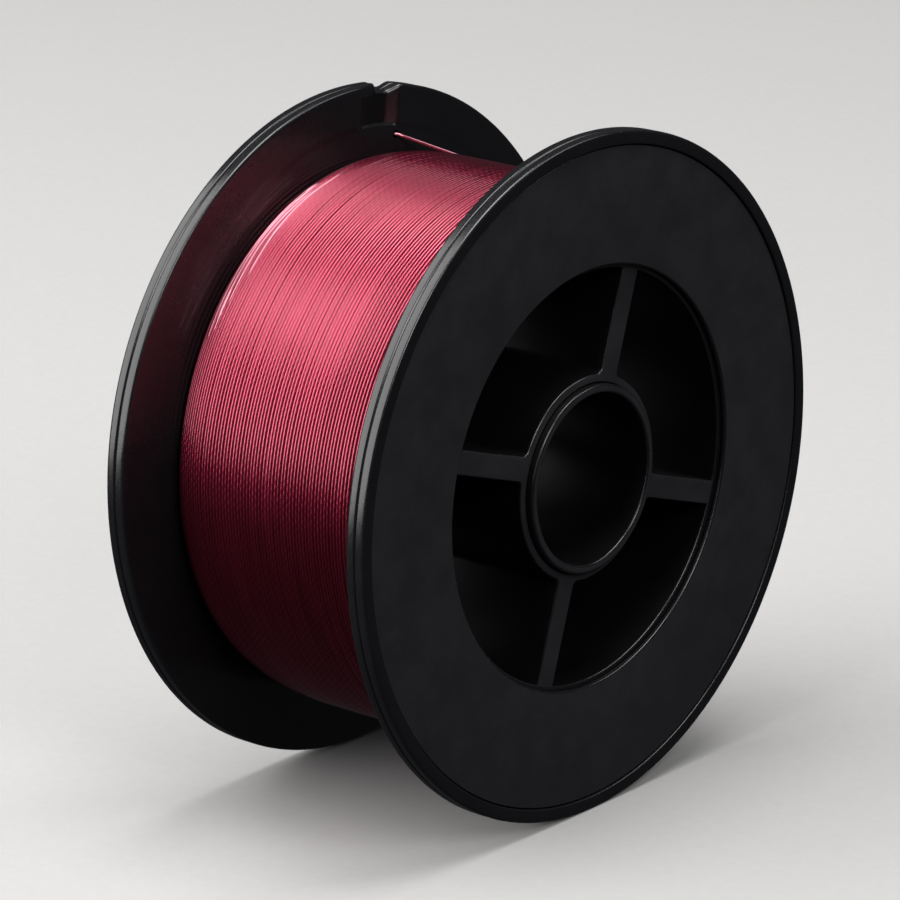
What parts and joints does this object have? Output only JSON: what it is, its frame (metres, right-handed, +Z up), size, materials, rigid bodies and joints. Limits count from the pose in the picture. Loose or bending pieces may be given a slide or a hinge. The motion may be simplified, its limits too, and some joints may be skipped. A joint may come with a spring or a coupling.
{
  "type": "fishing line spool",
  "caption": "Flanged plastic spool wound with red nylon line, with a bored hub on webs, face rings, and the line's end held at a notch in one rim.",
  "frame": {"origin": "centre of the spindle bore, half way between the two flange faces", "axes": "+Y along the bore from the front flange to the rear flange that has the notch, +Z up with the spool standing on its two rims, notch at the top"},
  "size_m": [0.08, 0.0382, 0.08],
  "materials": {
    "spool_plastic": "satin black moulded styrene",
    "face_plastic": "fine matt black moulded styrene",
    "nylon_line": "glossy translucent red monofilament"
  },
  "bodies": {
    "root": {"front_half": "spool_plastic", "rear_half": "spool_plastic", "front_face_ring": "face_plastic", "rear_face_ring": "face_plastic", "hub_sleeve": "spool_plastic", "line_winding": "nylon_line", "line_tail": "nylon_line", "line_start_knot": "nylon_line"}
  },
  "joints": []
}
